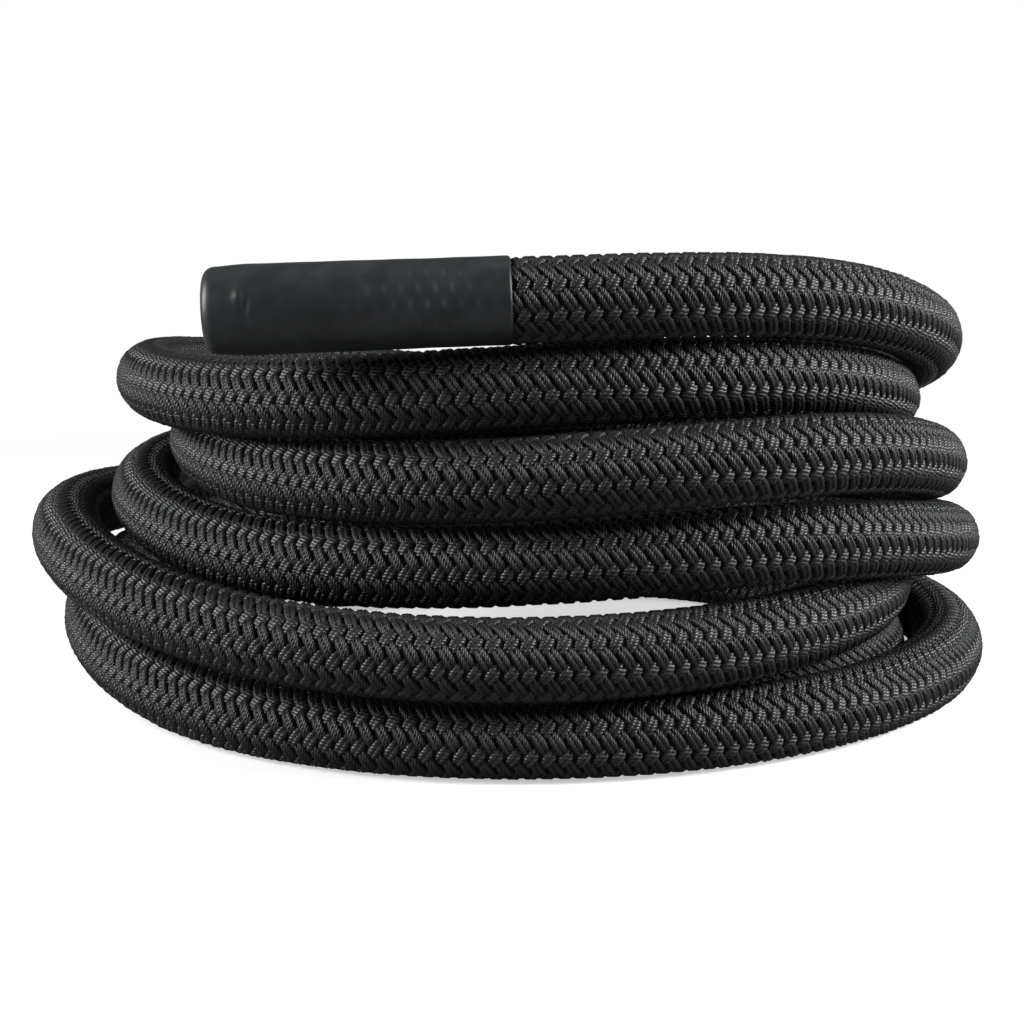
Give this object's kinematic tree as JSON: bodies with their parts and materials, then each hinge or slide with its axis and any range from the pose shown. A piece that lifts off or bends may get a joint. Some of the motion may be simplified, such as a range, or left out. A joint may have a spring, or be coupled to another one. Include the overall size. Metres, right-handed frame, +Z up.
{
  "type": "battle rope",
  "caption": "Thick black braided battle rope stored as a loose stacked coil, with a closed shrunk sleeve over each end.",
  "frame": {"origin": "middle of the coil's outline, on the floor under it", "axes": "+Z up along the coil's axis, -Y towards the front, where the upper end lies, +X to the right seen from the front"},
  "size_m": [0.5232, 0.517, 0.2302],
  "materials": {
    "black_braid": "tightly braided black polyester yarn, matte with a fine silky glint",
    "core_fibre": "undyed twisted fibre",
    "shrunk_sleeve": "satin charcoal shrink tube, faintly dimpled by the braid under it",
    "end_tape": "black cloth tape"
  },
  "bodies": {
    "root": {"braided_cover": "black_braid", "rope_core": "core_fibre", "front_sleeve": "shrunk_sleeve", "rear_sleeve": "shrunk_sleeve", "front_end_tape": "end_tape", "rear_end_tape": "end_tape"}
  },
  "joints": []
}
